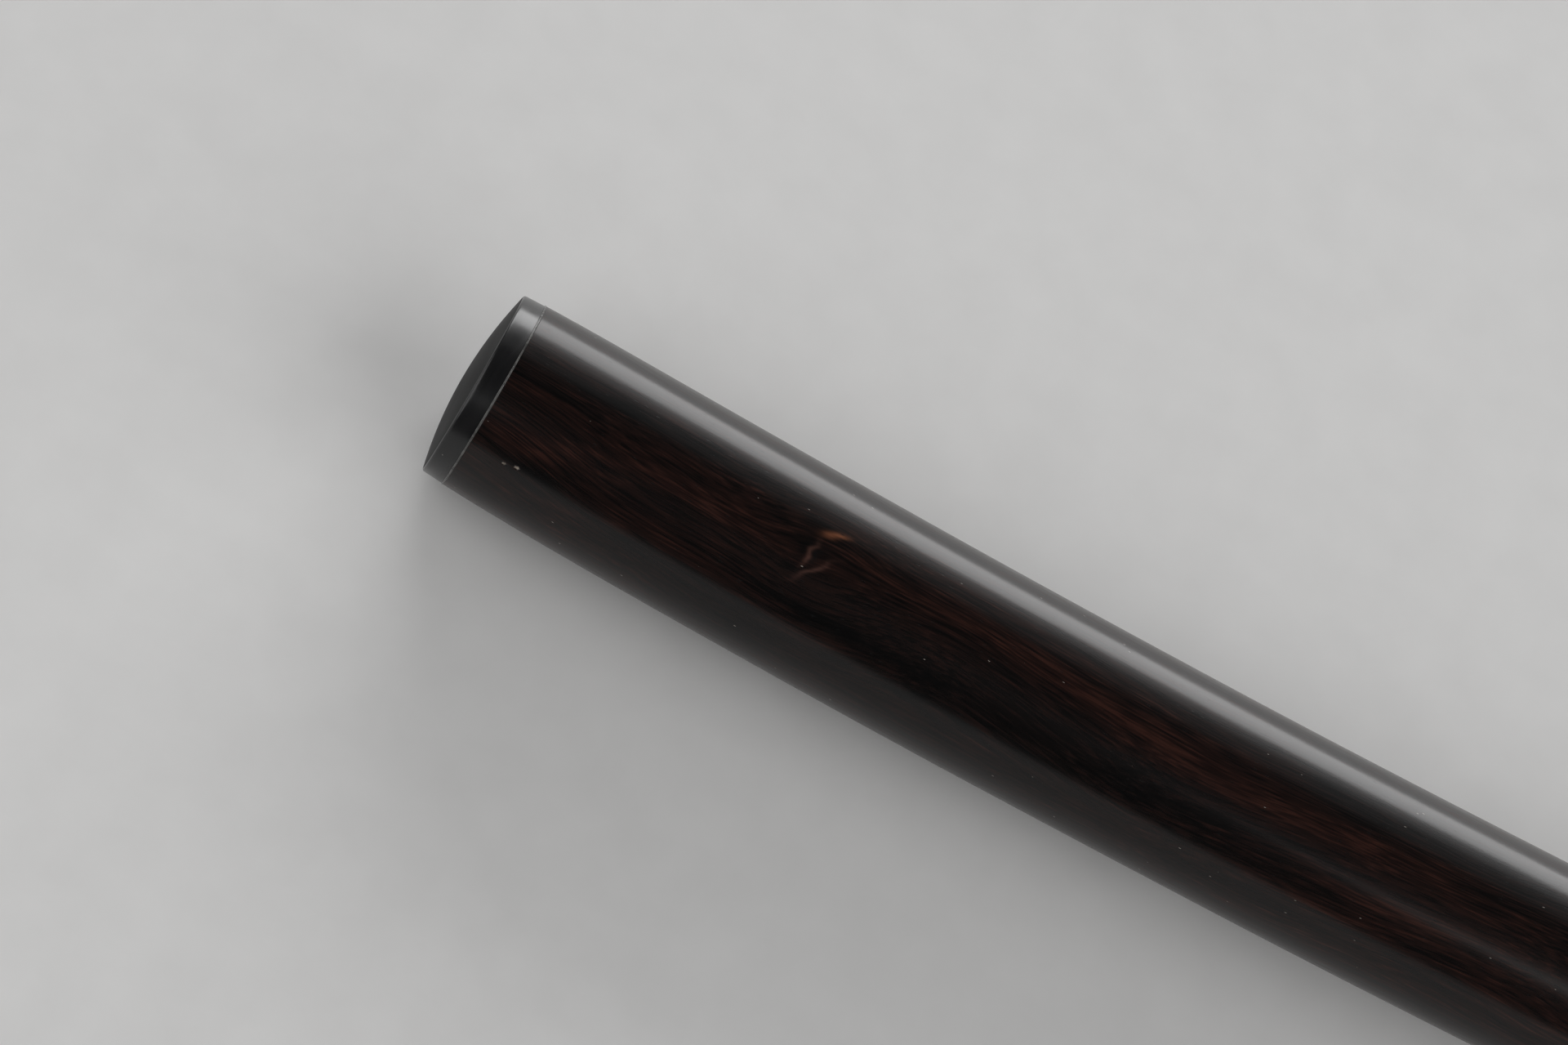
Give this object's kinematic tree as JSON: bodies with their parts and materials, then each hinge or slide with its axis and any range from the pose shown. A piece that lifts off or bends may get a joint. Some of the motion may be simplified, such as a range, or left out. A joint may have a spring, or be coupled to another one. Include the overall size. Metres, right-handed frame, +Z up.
{
  "type": "calligraphy brush",
  "caption": "Calligraphy brush with a slightly bowed polished wood shaft, a horn end cap and ferrule, and a pointed hair tuft that bends.",
  "frame": {"origin": "middle of the footprint, on the table the brush lies on", "axes": "+X along the ferrule and tuft, towards the tip; +Z up from the table; the bowed tail swings towards +Y"},
  "size_m": [0.2677, 0.018, 0.0142],
  "materials": {
    "rosewood": "polished, very dark, with reddish-brown streaks",
    "horn": "polished near-black buffalo horn",
    "clear_glue": "thin hard glue",
    "resin": "burnt-in rosin",
    "silk_thread": "waxed silk",
    "ramie_fibre": "raw bast fibre",
    "goat_hair": "smooth cream-white hair, set in a point",
    "weasel_hair": "glossy orange-brown hair, darker at the tips"
  },
  "bodies": {
    "handle": {"handle_shaft": "rosewood", "tail_cap": "horn", "tail_joint_glue": "clear_glue", "ferrule_cup": "horn", "ferrule_joint_glue": "clear_glue", "tuft_bed_glue": "clear_glue", "root_resin": "resin", "root_thread": "silk_thread", "coat_root": "goat_hair", "core_lining": "ramie_fibre", "core_root": "weasel_hair"},
    "tuft_base": {"coat_base": "goat_hair", "core_base": "weasel_hair"},
    "tuft_belly": {"coat_belly": "goat_hair", "core_belly": "weasel_hair"},
    "tuft_shoulder": {"coat_shoulder": "goat_hair", "core_shoulder": "weasel_hair"},
    "tuft_point": {"core_point": "weasel_hair"}
  },
  "joints": [
    {"name": "base_sweep", "type": "hinge", "parent": "handle", "child": "tuft_base", "pos_m": [0.08575, -0.00189, 0.0071], "axis": [0, -0.0349, 0.9994], "range_deg": [-30, 30], "stiffness_Nm_per_rad": 0.08},
    {"name": "belly_lift", "type": "hinge", "parent": "tuft_base", "child": "tuft_belly", "pos_m": [0.09775, -0.00189, 0.0071], "axis": [0, -0.9994, -0.0349], "range_deg": [-6, 30], "stiffness_Nm_per_rad": 0.05},
    {"name": "shoulder_sweep", "type": "hinge", "parent": "tuft_belly", "child": "tuft_shoulder", "pos_m": [0.10975, -0.00189, 0.0071], "axis": [0, -0.0349, 0.9994], "range_deg": [-30, 30]},
    {"name": "point_lift", "type": "hinge", "parent": "tuft_shoulder", "child": "tuft_point", "pos_m": [0.12075, -0.00189, 0.0071], "axis": [0, -0.9994, -0.0349], "range_deg": [-6, 30]}
  ],
  "couplings": [
    {"joint": "shoulder_sweep", "follows": "base_sweep", "ratio": 1},
    {"joint": "point_lift", "follows": "belly_lift", "ratio": 1}
  ]
}
